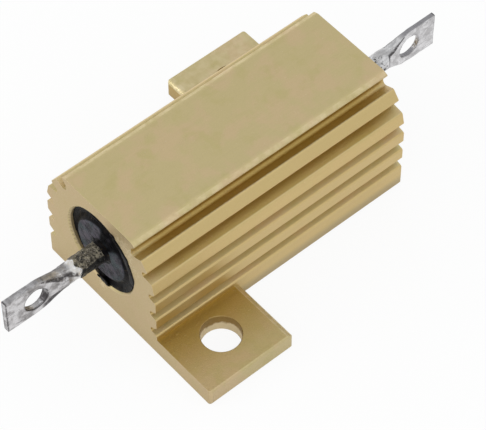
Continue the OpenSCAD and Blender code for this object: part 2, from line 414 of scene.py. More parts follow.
@dataclass(frozen=True)
class Scuff:
    """A rubbed patch on the housing: where it lies in millimetres, how far it reaches, how much it covers."""

    place: tuple[float, float, float]
    radius: float
    share: float


@dataclass(frozen=True)
class ChromateFinish(Finish):
    """Pale gold chromate on extruded aluminium.

    Painted shade makes the gold deeper in the grooves, at the tabs' inner ends, across the near tab and at
    the foot of the flanks. Mouth is where the painted shade of the grooves pales towards the sawn ends, tab
    where the painted shade pales across the near tab, from the foot of the fins outwards, and foot where the
    painted shade at the foot of the flanks ends. The fins' outward faces carry a lighter tone, which is
    painted light, and some rolled edges and the far tab carry painted highlights over the wear. The wall of a
    tab's hole is darker above a ragged border that lies inside punched_from.
    """

    name: str = "chromate_gold"
    tone: Tone = (198, 182, 137)
    rosy_tone: Tone = (205, 181, 144)
    olive_tone: Tone = (191, 178, 126)
    # painted light: a lighter tone on the fins' outward faces, where the light falls
    flank_tone: Tone = (211, 186, 130)
    sawn_tone: Tone = (195, 172, 130)
    # painted shade in the grooves, the neck, the tabs' inner ends and on the near tab
    deep_tone: Tone = (177, 147, 73)
    # painted shade along the foot of the flanks, next to the floor
    foot_tone: Tone = (180, 163, 126)
    bore_tone: Tone = (176, 156, 116)
    hole_tone: Tone = (236, 219, 182)
    punched_tone: Tone = (146, 115, 50)
    # edge wear, and painted highlights on the crown's and lip's rolled edges and on the tabs
    worn_tone: Tone = (234, 218, 184)
    metallic: float = 1.0
    bore_metallic: float = 0.25
    roughness: float = 0.46
    line_depth: float = 0.015
    # mouth and mouth_gold: where the painted shade of the grooves fades towards the sawn ends
    mouth: Span = (10.5, 13.4)
    mouth_gold: Span = (0.7, 0.1)
    # tab and tab_gold: where the painted shade fades across the near tab
    tab: Span = (7.05, 12.5)
    tab_gold: Span = (0.92, 0.2)
    foot: Span = (0.5, 1.3)
    punched_from: Span = (0.6, 1.0)
    punched_blend: float = 0.3
    scuffs: tuple[Scuff, ...] = ()

    def wire(self, sheet: MaterialSheet) -> None:
        """Drawn lines, worn edges with painted highlights and scuffs over the gold and its clouds."""
        grain = sheet.place(sheet.groups.drawn, Scale=7.0)
        fine = sheet.mottle(Scale=9.0, Low=0.3, High=0.7, Detail=5.0)
        wear = sheet.place(sheet.groups.wear, Amount=0.6)
        rubbed = self._rubbed(sheet)
        inside = sheet.attribute(Mark.BORE)
        colour = sheet.tint(self._gold(sheet), self.bore_tone, inside)
        wall = sheet.tint(linear(*self.hole_tone), self.punched_tone, self._punched(sheet))
        colour = sheet.tint(colour, wall, sheet.attribute(Mark.HOLE), share=0.85)
        lined = sheet.remap(grain, 0.3, 0.7, 1 - self.line_depth, 1 + self.line_depth)
        lines = sheet.add("ShaderNodeCombineColor", {0: lined, 1: lined, 2: lined})
        colour = sheet.mix(1.0, colour, lines.outputs[0], "MULTIPLY")
        # edge wear and painted highlights, from the mark that the mesh carries
        colour = sheet.tint(colour, self.worn_tone, wear)
        colour = sheet.tint(colour, self.worn_tone, rubbed, share=0.5)
        sheet.give(Metallic=sheet.between(inside, self.metallic, self.bore_metallic))
        gloss = sheet.between(fine, self.roughness - 0.05, self.roughness + 0.08)
        gloss = sheet.maths("SUBTRACT", gloss, sheet.maths("MULTIPLY", wear, 0.25))
        sheet.coat(colour, gloss, (grain, 0.004), (fine, 0.006), (rubbed, 0.02))

    def _gold(self, sheet: MaterialSheet) -> Socket:
        """Rosy and olive clouds, painted light on the fins' outward faces, greyer where it is sawn, painted
        shade in the grooves, on the near tab and at the foot of the flanks.
        """
        rosy = sheet.mottle(Scale=0.33, Low=0.44, High=0.62, Shift=3.0)
        olive = sheet.mottle(Scale=0.52, Low=0.5, High=0.68, Shift=11.0)
        flank = sheet.maths("MULTIPLY", sheet.attribute(Mark.FLANK), 0.85)
        inward = self._fade(sheet, "X", self.mouth, self.mouth_gold)
        gathered = self._fade(sheet, "Y", self.tab, self.tab_gold)
        hollow = sheet.maths("MULTIPLY", sheet.attribute(Mark.HOLLOW), inward)
        tab = sheet.maths("MULTIPLY", sheet.attribute(Mark.TAB), gathered)
        # painted shade at the foot of the flanks
        foot = sheet.maths("MULTIPLY", flank, self._fade(sheet, "Z", self.foot, (1.0, 0.0)))
        colour = sheet.tint(linear(*self.tone), self.rosy_tone, rosy, share=0.7)
        colour = sheet.tint(colour, self.olive_tone, olive, share=0.6)
        # painted light on the fins' outward faces
        colour = sheet.tint(colour, self.flank_tone, flank)
        colour = sheet.tint(colour, self.sawn_tone, sheet.attribute(Mark.SAWN), share=0.65)
        # painted shade in the grooves, at the tabs' inner ends and on the near tab
        colour = sheet.tint(colour, self.deep_tone, sheet.maths("MAXIMUM", tab, hollow))
        return sheet.tint(colour, self.foot_tone, foot)

    def _rubbed(self, sheet: MaterialSheet) -> Socket | float:
        """All the scuffs together."""
        rubbed = 0.0
        for scuff in self.scuffs:
            x, y, z = scuff.place
            patch = sheet.place(sheet.groups.scuff, X=x, Y=y, Z=z, Radius=scuff.radius, Share=scuff.share)
            rubbed = sheet.maths("MAXIMUM", rubbed, patch)
        return rubbed

    @staticmethod
    def _fade(sheet: MaterialSheet, letter: str, reach: Span, shares: Span) -> Socket:
        """A share that changes with the distance from the middle along one axis.

        Args:
            sheet: The material's nodes.
            letter: The axis.
            reach: Where the change starts and ends, in millimetres from the origin.
            shares: The share before it and past it.

        Returns:
            The share's output.
        """
        away = sheet.maths("ABSOLUTE", sheet.axis(letter))
        return sheet.remap(away, reach[0] * MM, reach[1] * MM, *shares)

    def _punched(self, sheet: MaterialSheet) -> Socket:
        """Rough darker band that the punch leaves in the upper half of a tab's hole."""
        low, high = self.punched_from
        ragged = sheet.mottle(Scale=1.3, Low=0.3, High=0.7, Shift=27.0)
        above = sheet.maths("SUBTRACT", sheet.axis("Z"), sheet.between(ragged, low * MM, high * MM))
        return sheet.remap(above, 0.0, self.punched_blend * MM)


@dataclass(frozen=True)
class TinnedFinish(Finish):
    """Hot tinned metal: bright faces, darker narrow sides, painted shade as dark lines along its rims and a
    painted highlight near the root.
    """

    name: str = "tinned"
    bright: Tone = (208, 206, 207)
    dull: Tone = (152, 149, 149)
    # painted highlight: the bright tone near a lug's root and over the whole of one lug
    bare: Tone = (248, 248, 250)
    # darker tone on the lugs' narrow sides
    sheared: Tone = (132, 130, 134)
    # real stains for the streaks, and painted shade for the dark lines along the rims
    stain: Tone = (62, 58, 60)
    burnt: Tone = (22, 19, 18)
    metallic: float = 0.92
    roughness: float = 0.27

    def wire(self, sheet: MaterialSheet) -> None:
        """Faint clouds and streaks over bright tin, with marks from the mesh."""
        cloud = sheet.mottle(Scale=1.1, Low=0.38, High=0.62, Shift=5.0, Detail=6.0)
        streak = sheet.place(sheet.groups.streaks, Scale=1.8, Low=0.52, High=0.66)
        pits = sheet.mottle(Scale=5.0, Low=0.3, High=0.7, Detail=6.0)
        patchy = sheet.mottle(Scale=2.4, Low=0.26, High=0.5, Shift=23.0)
        soot = sheet.mottle(Scale=4.6, Low=0.5, High=0.6, Shift=41.0)
        colour = sheet.tint(linear(*self.bright), self.dull, cloud)
        colour = sheet.tint(colour, self.stain, streak, share=0.45)
        # painted highlight from the mesh's mark
        colour = sheet.tint(colour, self.bare, sheet.attribute(Mark.BARE))
        # darker narrow sides
        colour = sheet.tint(colour, self.sheared, sheet.attribute(Mark.SHEARED))
        # painted shade: dark lines along the rims and the pressed face's border
        rim = sheet.maths("MULTIPLY", sheet.attribute(Mark.RIM), patchy)
        colour = sheet.tint(colour, self.stain, rim, share=0.9)
        specks = sheet.maths("MULTIPLY", sheet.attribute(Mark.BURNT), soot)
        colour = sheet.tint(colour, self.burnt, specks)
        sheet.give(Metallic=self.metallic)
        gloss = sheet.between(cloud, self.roughness, self.roughness + 0.16)
        sheet.coat(colour, gloss, (streak, 0.02), (pits, 0.01))


@dataclass(frozen=True)
class SiliconeFinish(Finish):
    """Black silicone, glossy where it flowed."""

    name: str = "black_silicone"
    tone: Tone = (5, 4, 6)
    bloom_tone: Tone = (30, 26, 24)
    dust_tone: Tone = (74, 62, 44)
    specular: float = 0.05
    roughness: float = 0.34

    def wire(self, sheet: MaterialSheet) -> None:
        """Near black with a faint brown bloom and a few pale streaks of dust."""
        bloom = sheet.mottle(Scale=1.2, Low=0.45, High=0.75)
        dust = sheet.mottle(Scale=3.2, Low=0.6, High=0.72, Shift=17.0)
        skin = sheet.mottle(Scale=4.0, Low=0.3, High=0.7)
        colour = sheet.tint(linear(*self.tone), self.bloom_tone, bloom)
        colour = sheet.tint(colour, self.dust_tone, dust)
        sheet.give(Specular_IOR_Level=self.specular)
        gloss = sheet.between(bloom, self.roughness, self.roughness + 0.2)
        sheet.coat(colour, gloss, (skin, 0.02))


@dataclass(frozen=True)
class CompoundFinish(Finish):
    """Dark blue-grey moulding compound, smeared with sealant in places and with the shank's shadow painted
    black on it.
    """

    name: str = "moulding_compound"
    tone: Tone = (36, 34, 41)
    light_tone: Tone = (78, 73, 82)
    teal_tone: Tone = (52, 66, 68)
    grain_tone: Tone = (128, 128, 136)
    smear_tone: Tone = (5, 5, 7)
    specular: float = 0.1
    smear_specular: float = 0.04
    roughness: float = 0.42

    def wire(self, sheet: MaterialSheet) -> None:
        """Swirled greys with small pale grains under black sealant smears and painted shadow."""
        swirl = sheet.mottle(Scale=1.1, Low=0.4, High=0.58, Shift=2.0, Detail=6.0)
        teal = sheet.mottle(Scale=0.9, Low=0.46, High=0.62, Shift=31.0)
        grains = sheet.speckle(Scale=3.5, Size=0.12, Share=0.25)
        pores = sheet.mottle(Scale=6.0, Low=0.3, High=0.7)
        smear = sheet.attribute(Mark.SMEAR)
        colour = sheet.tint(linear(*self.tone), self.light_tone, swirl)
        colour = sheet.tint(colour, self.teal_tone, teal, share=0.7)
        colour = sheet.tint(colour, self.grain_tone, grains, share=0.25)
        # black sealant smear and painted shadow of the shank
        colour = sheet.tint(colour, self.smear_tone, smear)
        # The plain level first: it is what stays where an export drops the link.
        sheet.give(Specular_IOR_Level=self.specular)
        sheet.give(Specular_IOR_Level=sheet.between(smear, self.specular, self.smear_specular))
        gloss = sheet.between(pores, self.roughness, self.roughness + 0.15)
        sheet.coat(colour, gloss, (pores, 0.02), (swirl, 0.04))


@dataclass(frozen=True)
class FluxFinish(Finish):
    """Burnt flux and tin beads left on a shank."""

    name: str = "burnt_flux"
    tone: Tone = (84, 78, 68)
    light_tone: Tone = (142, 134, 116)
    pale: Tone = (204, 194, 180)
    black: Tone = (9, 8, 7)
    metallic: float = 0.2
    roughness: float = 0.34

    def wire(self, sheet: MaterialSheet) -> None:
        """Olive grey ground with pale grains and black burnt spots, blacker where the mesh marks burnt flux
        and painted shade.
        """
        ground = sheet.mottle(Scale=2.8, Low=0.4, High=0.6, Detail=8.0)
        spots = sheet.mottle(Scale=6.0, Low=0.53, High=0.58, Shift=7.0, Detail=2.0)
        grains = sheet.speckle(Scale=9.0, Size=0.24, Softness=0.14, Share=0.34)
        colour = sheet.tint(linear(*self.tone), self.light_tone, ground)
        colour = sheet.tint(colour, self.pale, grains)
        colour = sheet.tint(colour, self.black, spots, share=0.85)
        colour = sheet.tint(colour, self.black, sheet.attribute(Mark.BURNT))
        sheet.give(Metallic=self.metallic)
        gloss = sheet.between(ground, self.roughness, self.roughness + 0.26)
        sheet.coat(colour, gloss, (ground, 0.04), (grains, 0.03))


@dataclass(frozen=True)
class PlainFinish(Finish):
    """Finish of a piece inside: two close tones, faint relief."""

    name: str
    tone: Tone
    second: Tone
    metallic: float
    roughness: float

    def wire(self, sheet: MaterialSheet) -> None:
        """Two tones in clouds, with the same clouds as relief."""
        cloud = sheet.mottle(Scale=1.5, Low=0.35, High=0.65)
        sheet.give(Metallic=self.metallic)
        sheet.coat(sheet.tint(linear(*self.tone), self.second, cloud),
                  sheet.between(cloud, self.roughness, self.roughness + 0.1), (cloud, 0.01))


@dataclass
class Paintbox:
    """Every material of the resistor, made once."""

    scuffs: tuple[Scuff, ...] = ()
    groups: EffectGroups = field(default_factory=EffectGroups)

    def __post_init__(self) -> None:
        """Builds the materials."""
        self.housing = ChromateFinish(scuffs=self.scuffs).material(self.groups)
        self.tinned = TinnedFinish().material(self.groups)
        self.silicone = SiliconeFinish().material(self.groups)
        self.compound = CompoundFinish().material(self.groups)
        self.flux = FluxFinish().material(self.groups)
        self.ceramic, self.wire, self.cap = (PlainFinish(*values).material(self.groups) for values in (
            ("steatite", (226, 221, 208), (236, 232, 222), 0.0, 0.55),
            ("resistance_alloy", (140, 124, 108), (160, 144, 128), 0.9, 0.35),
            ("cap_steel", (158, 159, 161), (176, 177, 180), 0.95, 0.3)))


# --------------------------------------------------------------------------- mesh helpers


def wobble(place: Vector, scale: float, seed: float) -> float:
    """Smooth noise between about minus one and one.

    Args:
        place: A point in metres.
        scale: Waves per millimetre.
        seed: Shift that makes one surface differ from the next.

    Returns:
        The noise value.
    """
    return noise.noise(place / MM * scale + Vector((seed, seed * 0.37, -seed)))


def lumps(place: Vector, coarse: Span, fine: Span, share: float) -> float:
    """Coarse and fine noise together, between about minus one and one.

    Args:
        place: A point in metres.
        coarse, fine: Scale and seed of each.
        share: How much of the sum is coarse.

    Returns:
        The noise value.
    """
    return share * wobble(place, *coarse) + (1 - share) * wobble(place, *fine)


def ramp(value: float, low: float, high: float) -> float:
    """Smooth step from zero at low to one at high.

    Args:
        value: The value to place between the two ends.
        low, high: Where the step starts and ends.

    Returns:
        A number from zero to one.
    """
    share = max(0.0, min(1.0, (value - low) / (high - low)))
    return share * share * (3 - 2 * share)


@dataclass(frozen=True)
class Sector:
    """A sector with soft sides round the bore's axis: the bearing of its middle and half its width."""

    centre: float
    spread: float

    def holds(self, bearing: float) -> float:
        """How far a bearing in degrees lies inside: one in the middle, zero outside."""
        away = abs((bearing - self.centre + 180) % 360 - 180)
        return 1 - ramp(away, self.spread * 0.6, self.spread * 1.3)


def merged_copy(node: str) -> bmesh.types.BMesh:
    """A bmesh of a solid, with the doubled points of its loose triangles merged.

    Args:
        node: Name of the solid.

    Returns:
        A new bmesh, which the caller frees.
    """
    shape = bmesh.new()
    shape.from_mesh(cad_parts[node].data)
    bmesh.ops.remove_doubles(shape, verts=shape.verts, dist=MERGE_DISTANCE)
    return shape


def skinned(shape: bmesh.types.BMesh, voxel: float, passes: int) -> bmesh.types.BMesh:
    """Wraps a shape in one even skin, which rounds its corners.

    Args:
        shape: The shape, in metres; it is freed.
        voxel: Size of the skin's faces in millimetres.
        passes: How many times the skin is smoothed.

    Returns:
        The skin as a new bmesh.
    """
    raw = bpy.data.meshes.new("raw")
    shape.to_mesh(raw)
    shape.free()
    rough = bpy.data.objects.new("raw", raw)
    bpy.context.scene.collection.objects.link(rough)
    remesh = rough.modifiers.new("skin", "REMESH")
    remesh.mode = "VOXEL"
    remesh.voxel_size = voxel * MM
    skin = bmesh.new()
    skin.from_mesh(rough.evaluated_get(bpy.context.evaluated_depsgraph_get()).data)
    bpy.data.objects.remove(rough)
    bpy.data.meshes.remove(raw)
    for _ in range(passes):
        bmesh.ops.smooth_vert(skin, verts=skin.verts, factor=0.5,
                              use_axis_x=True, use_axis_y=True, use_axis_z=True)
    skin.normal_update()
    return skin


def to_object(shape: bmesh.types.BMesh, name: str, material: bpy.types.Material,
              smooth_angle: float = 40.0) -> bpy.types.Object:
    """Turns a bmesh into a shown object on the root body.

    Args:
        shape: The finished shape, in metres; it is freed.
        name: Name of the piece.
        material: Its material.
        smooth_angle: Edges sharper than this many degrees stay sharp.

    Returns:
        The new object, which rides on the root body.
    """
    mesh = bpy.data.meshes.new(name)
    shape.to_mesh(mesh)
    shape.free()
    mesh.shade_smooth()
    mesh.set_sharp_from_angle(angle=math.radians(smooth_angle))
    mesh.materials.append(material)
    piece = bpy.data.objects.new(name, mesh)
    bpy.context.scene.collection.objects.link(piece)
    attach(piece, ROOT)
    LOG.info("%s: %d faces", name, len(mesh.polygons))
    return piece


def dress(node: str, material: bpy.types.Material) -> None:
    """Gives a solid that stays its material.

    Args:
        node: Name of the solid.
        material: Its material.
    """
    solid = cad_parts[node]
    solid.data.materials.clear()
    solid.data.materials.append(material)
    LOG.info("%s: dressed", node)


@dataclass(frozen=True)
class Bore:
    """The bore's axis and the radii round it, in millimetres, measured off the solids."""

    height: float
    end: float
    wall: float
    boss: float
    shank: float

    @classmethod
    def measure(cls) -> "Bore":
        """Reads the sizes from the right end's solids.

        Returns:
            The measured bore.
        """
        low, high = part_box("end_seal_right")
        height = (low.z + high.z) / 2

        def radii(node: str, reach: float) -> list[float]:
            """Distances from the axis of a solid's points that lie no further out than reach."""
            return [math.hypot(vert.co.y, vert.co.z - height)
                    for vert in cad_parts[node].data.vertices if vert.co.x < reach]

        ring = radii("end_seal_right", high.x)
        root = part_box("terminal_right")[0].x
        return cls(height / MM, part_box("housing")[1].x / MM, max(ring) / MM, min(ring) / MM,
                   max(radii("terminal_right", root + 0.1 * MM)) / MM)

    def turned(self, end: End, profile: Sequence[Span], steps: int) -> bmesh.types.BMesh:
        """Turns a closed outline about the bore's axis.

        Args:
            end: The end that the piece sits at.
            profile: Radius and distance out of the body's end for each corner, in millimetres.
            steps: Number of segments round the axis.

        Returns:
            The turned shape.
        """
        shape = bmesh.new()
        verts = [shape.verts.new((end.value * (self.end + out) * MM, 0, (self.height + radius) * MM))
                 for radius, out in profile]
        edges = [shape.edges.new(pair) for pair in zip(verts, verts[1:] + verts[:1])]
        bmesh.ops.spin(shape, geom=verts + edges, cent=(0, 0, self.height * MM), axis=(1, 0, 0),
                       angle=math.tau, steps=steps, use_merge=True)
        bmesh.ops.remove_doubles(shape, verts=shape.verts, dist=MERGE_DISTANCE / 4)
        bmesh.ops.recalc_face_normals(shape, faces=shape.faces)
        return shape

    def polar(self, end: End, place: Vector) -> tuple[float, float, float]:
        """Radius, bearing and distance out of the body's end of a point.

        Args:
            end: The end that the piece sits at.
            place: The point, in metres.

        Returns:
            Radius in millimetres, bearing in degrees from +Y towards +Z on the left end and its half turn
            on the right end, and distance out in millimetres.
        """
        across, up = -end.value * place.y / MM, place.z / MM - self.height
        bearing = math.degrees(math.atan2(up, across))
        return math.hypot(across, up), bearing, end.value * place.x / MM - self.end

    def mould(self, end: End, shape: bmesh.types.BMesh, change: Change) -> None:
        """Moves each point of a turned shape to a new radius and a new distance out.

        Args:
            end: The end that the piece sits at.
            shape: The shape to change.
            change: Gives the new radius and distance from the old ones, the bearing and the place.
        """
        for vert in shape.verts:
            radius, bearing, out = self.polar(end, vert.co)
            new_radius, new_out = change(radius, bearing, out, vert.co)
            across, up = math.cos(math.radians(bearing)), math.sin(math.radians(bearing))
            vert.co = Vector((end.value * (self.end + new_out), -end.value * across * new_radius,
                              self.height + up * new_radius)) * MM


# --------------------------------------------------------------------------- the pieces


@dataclass
class Housing:
    """The finned extrusion with its two tabs.

    The rubs and highlights are shares from zero to one: hole_rub is how worn the rim of a tab's hole is,
    and the highlights are painted highlights on the crown's and lip's rolled edges and on the tabs. The
    hollows are the grooves and the neck between hollow_from and hollow_to, where painted shade makes the
    gold deeper. Slope to rim_slope are limits of a face's normal, and touch is how near a face has to lie
    to count as part of a place.
    """

    paint: Paintbox
    bore: Bore
    edge_break: float = 0.07
    flat_angle: float = 1.5
    sharp_angle: float = 38.0
    slope: float = 0.3
    gentle: float = 0.2
    askew: float = 0.1
    square: float = 0.9
    level: float = 0.99
    rim_slope: float = 0.96
    touch: float = 0.1
    flank_reach: float = 7.2
    fin_radius: float = 7.0
    hollow_from: float = 8.3
    hollow_to: float = 11.7
    hollow_depth: float = 0.3
    tab_end_shade: float = 0.8
    hole_margin: float = 0.7
    crown_from: float = 12.15
    # painted highlights on the crown's and lip's rolled edges, the tabs' inner ends and the far tab's top
    crown_rub: float = 0.45
    lip_rub: float = 0.6
    tab_rub: float = 0.75
    far_tab_rub: float = 0.4
    hole_rub: float = 0.15

    def __post_init__(self) -> None:
        """Measures where the tabs' inner ends lie along X."""
        self.tab_end = min(abs(vert.co.x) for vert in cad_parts["housing"].data.vertices
                           if abs(vert.co.y) > (self.fin_radius + 1) * MM) / MM

    def build(self) -> bpy.types.Object:
        """Breaks the sharp edges of the extrusion, marks its faces and dresses it.

        Returns:
            The piece that stands for the housing.
        """
        shape = merged_copy("housing")
        bmesh.ops.dissolve_limit(shape, verts=shape.verts, edges=shape.edges, delimit={"NORMAL"},
                                 angle_limit=math.radians(self.flat_angle), use_dissolve_boundaries=False)
        layers = {mark: shape.faces.layers.float.new(mark.value) for mark in (
            Mark.WORN, Mark.FLANK, Mark.SAWN, Mark.HOLLOW, Mark.BORE, Mark.TAB, Mark.HOLE)}
        limit = math.radians(self.sharp_angle)
        sharp = [edge for edge in shape.edges
                 if edge.is_manifold and edge.calc_face_angle_signed(0.0) > limit]
        made = bmesh.ops.bevel(shape, geom=sharp, offset=self.edge_break * MM, offset_type="OFFSET",
                               segments=2, profile=0.5, affect="EDGES", clamp_overlap=True, material=-1)
        for face in made["faces"]:
            face[layers[Mark.WORN]] = 1.0
        for face in shape.faces:
            middle = face.calc_center_median() / MM
            worn = self._worn(face.normal, middle, face[layers[Mark.WORN]])
            for mark, share in {Mark.WORN: worn, **self._marks(face.normal, middle, worn)}.items():
                face[layers[mark]] = share
        piece = to_object(shape, "housing_shell", self.paint.housing)
        piece.modifiers.new("even_shading", "WEIGHTED_NORMAL").keep_sharp = True
        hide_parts("housing")
        return piece

    def _worn(self, normal: Vector, middle: Vector, worn: float) -> float:
        """How worn a face is, with the painted highlights on the crown, the lip and the tabs.

        Args:
            normal: The way it faces.
            middle: Its middle in millimetres.
            worn: One on a broken edge, zero elsewhere.

        Returns:
            The share of wear and painted highlight.
        """
        crown = self._on_crown(normal, middle)
        lip = self.hollow_to < middle.z < self.crown_from and normal.z < -self.gentle
        if (crown or lip) and abs(normal.y) > self.slope:
            worn = self.crown_rub if crown else self.lip_rub
        if self._tops_tab(normal, middle):
            return worn if middle.y < 0 else self.far_tab_rub
        if abs(middle.y) > self.fin_radius and normal.z > self.gentle and abs(normal.x) > self.askew:
            return self.tab_rub
        return worn

    def _marks(self, normal: Vector, middle: Vector, worn: float) -> dict[Mark, float]:
        """The marks that a face carries.

        Args:
            normal: The way it faces.
            middle: Its middle in millimetres.
            worn: How worn it is.

        Returns:
            The share of each mark that it has.
        """
        marks = {}
        on_tab = abs(middle.y) > self.flank_reach
        outward = normal.y * math.copysign(1.0, middle.y)
        if outward > self.slope and not on_tab and not self._on_crown(normal, middle):
            marks[Mark.FLANK] = 1.0
        if self._tops_tab(normal, middle) and middle.y < 0:
            # painted shade across the near tab only
            marks[Mark.TAB] = 1.0
        if on_tab and self._faces_hole(normal, middle):
            marks[Mark.HOLE] = 1.0
            marks[Mark.WORN] = worn * self.hole_rub
        elif abs(normal.x) > self.square:
            marks[Mark.SAWN] = 1.0
            if on_tab and abs(middle.x) < self.tab_end + self.touch:
                # painted shade on the tabs' inner ends
                marks[Mark.HOLLOW] = self.tab_end_shade
        elif math.hypot(middle.y, middle.z - self.bore.height) < self.bore.wall + self.touch:
            marks[Mark.BORE] = 1.0
        elif self.hollow_from < middle.z < self.hollow_to and self._sunk(middle) > self.hollow_depth:
            # painted shade in the grooves and the neck
            marks[Mark.HOLLOW] = 1.0
        return marks

    def _on_crown(self, normal: Vector, middle: Vector) -> bool:
        """Whether a face belongs to the top of the crown or its rolled edges."""
        return middle.z > self.crown_from and normal.z > self.slope

    def _tops_tab(self, normal: Vector, middle: Vector) -> bool:
        """Whether a face is a level one on top of a tab."""
        return abs(middle.y) > self.flank_reach and normal.z > self.level

    def _faces_hole(self, normal: Vector, middle: Vector) -> bool:
        """Whether a face of a tab belongs to the wall or the rim of its hole.

        Args:
            normal: The way it faces.
            middle: Its middle in millimetres.

        Returns:
            True when the face isn't level and looks at the middle of its tab.
        """
        centre = math.copysign((self.tab_end + self.bore.end) / 2, middle.x)
        clear = (self.tab_end + self.hole_margin < abs(middle.x) < self.bore.end - self.hole_margin
                 and abs(middle.y) < CAD_BOX[1].y / MM - self.hole_margin)
        inward = normal.x * (centre - middle.x) > -NEARLY_ZERO or abs(normal.y) > self.square
        return clear and inward and abs(normal.z) < self.rim_slope

    def _sunk(self, place: Vector) -> float:
        """How far a point of the flank, in millimetres, lies behind the circle over the fins' tips."""
        rise = place.z - self.bore.height
        return math.sqrt(max(0.0, self.fin_radius ** 2 - rise ** 2)) - abs(place.y)


@dataclass
class EndPiece:
    """Base of the pieces that sit at one end of the bore."""

    paint: Paintbox
    bore: Bore
    end: End


@dataclass
class TurnedPiece(EndPiece):
    """Base of the end pieces that are turned. Steps are the segments round the axis."""

    steps: int = 160

    def moulded(self, outline: Sequence[Span], change: Change) -> bmesh.types.BMesh:
        """Turns a closed outline about the bore's axis and moves its points.

        Args:
            outline: Radius and distance out of the body's end for each corner, in millimetres.
            change: Gives each point's new radius and distance, as Bore.mould takes it.

        Returns:
            The shape.
        """
        shape = self.bore.turned(self.end, outline, self.steps)
        self.bore.mould(self.end, shape, change)
        return shape


@dataclass
class Seal(TurnedPiece):
    """Ring of poured sealant between boss and bore."""

    boss_lap: float = 0.06
    dip: float = 0.36
    wall_lap: float = 0.1
    wall_sag: float = 0.32
    sagged: Sector = Sector(2.0, 70.0)
    unevenness: float = 0.07
    points: int = 20

    def build(self) -> bpy.types.Object:
        """Turns the ring and makes its face uneven.

        Returns:
            The piece that stands for the seal.
        """
        node = f"end_seal_{self.end.tag}"
        back = min(abs(corner.x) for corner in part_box(node)) / MM - self.bore.end
        span = self.bore.wall - self.bore.boss
        face = [(self.bore.boss + span * i / self.points, -self._depth(i / self.points))
                for i in range(self.points + 1)]
        seed = 2.0 * self.end.value

        def settle(radius: float, bearing: float, out: float, place: Vector) -> Span:
            """Lifts and sinks the poured face."""
            lift = self.unevenness * lumps(place, (0.8, seed), (2.6, seed), 0.7)
            sag = self.wall_sag * self.sagged.holds(bearing) * ramp(radius, self.bore.boss, self.bore.wall)
            return radius, out + (lift - sag) * ramp(out, back, back / 2)

        shape = self.moulded([(self.bore.wall, back), (self.bore.boss, back), *face], settle)
        piece = to_object(shape, f"{node}_poured", self.paint.silicone)
        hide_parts(node)
        return piece

    def _depth(self, share: float) -> float:
        """Depth of the sealant below the body's end, from the boss at zero to the bore at one."""
        lap = self.boss_lap if share < 0.5 else self.wall_lap
        return lap + (self.dip - lap) * ramp(min(share, 1 - share), 0.0, 0.5)


@dataclass
class Boss(TurnedPiece):
    """Uneven cast skin of the moulded boss, with sealant smeared on it and the shank's shadow painted on it.

    Grip is where the skin starts, as a share of the shank's radius. The black lies in a wedge, which is
    painted shadow of the shank, on the rim, which is sealant, and round the root of the shank, which is
    painted shade, and shows between the two amounts of smeared.
    """

    grip: float = 0.9
    skin: float = 0.6
    corner: float = 0.2
    corner_steps: int = 6
    overhang: float = 0.15
    unevenness: float = 0.05
    rings: int = 26
    steps: int = 144
    wedge: Sector = Sector(116, 27)
    wedge_share: float = 0.8
    rim_share: float = 0.7
    root: Sector = Sector(155, 55)
    root_fade: Span = (0.1, 0.65)
    patchiness: float = 0.2
    smeared: Span = (0.25, 0.85)

    def build(self) -> bpy.types.Object:
        """Turns the skin, makes it uneven and marks where the sealant is smeared.

        Returns:
            The skin.
        """
        outer, inner = self.bore.boss + self.overhang, self.bore.shank * self.grip
        turn = [math.pi / 2 * i / self.corner_steps for i in range(self.corner_steps + 1)]
        edge = [(outer - self.corner * (1 - math.cos(a)), -self.corner * (1 - math.sin(a))) for a in turn]
        span = outer - self.corner - inner
        face = [(inner + span * (1 - i / self.rings), 0.0) for i in range(1, self.rings + 1)]
        seed = 6.0 + self.end.value

        def cast(radius: float, bearing: float, out: float, place: Vector) -> Span:
            """Swells and dips the face."""
            lift = lumps(place, (0.55, seed), (1.7, seed), 0.6)
            return radius, out + self.unevenness * lift * ramp(out, -self.skin, -self.corner)

        shape = self.moulded([(inner, -self.skin), (outer, -self.skin), *edge, *face], cast)
        smear = shape.verts.layers.float.new(Mark.SMEAR.value)
        for vert in shape.verts:
            vert[smear] = self._smeared(vert.co)
        return to_object(shape, f"boss_skin_{self.end.tag}", self.paint.compound)

    def _smeared(self, place: Vector) -> float:
        """Share of black at a point: painted shadow in a wedge from shank to rim and round the root, sealant
        on the rim itself.
        """
        radius, bearing, _ = self.bore.polar(self.end, place)
        boss, shank = self.bore.boss, self.bore.shank
        # painted shadow of the shank in a wedge and round its root; sealant on the rim
        wedge = self.wedge_share * self.wedge.holds(bearing) * ramp(radius, shank, shank + 0.5)
        rim = self.rim_share * ramp(radius, boss + 0.02, boss + self.overhang)
        root = self.root.holds(bearing) * (1 - ramp(radius - shank, *self.root_fade))
        amount = max(wedge, rim, root) + self.patchiness * wobble(place, 1.6, 8.0 * self.end.value)
        return ramp(amount, *self.smeared)


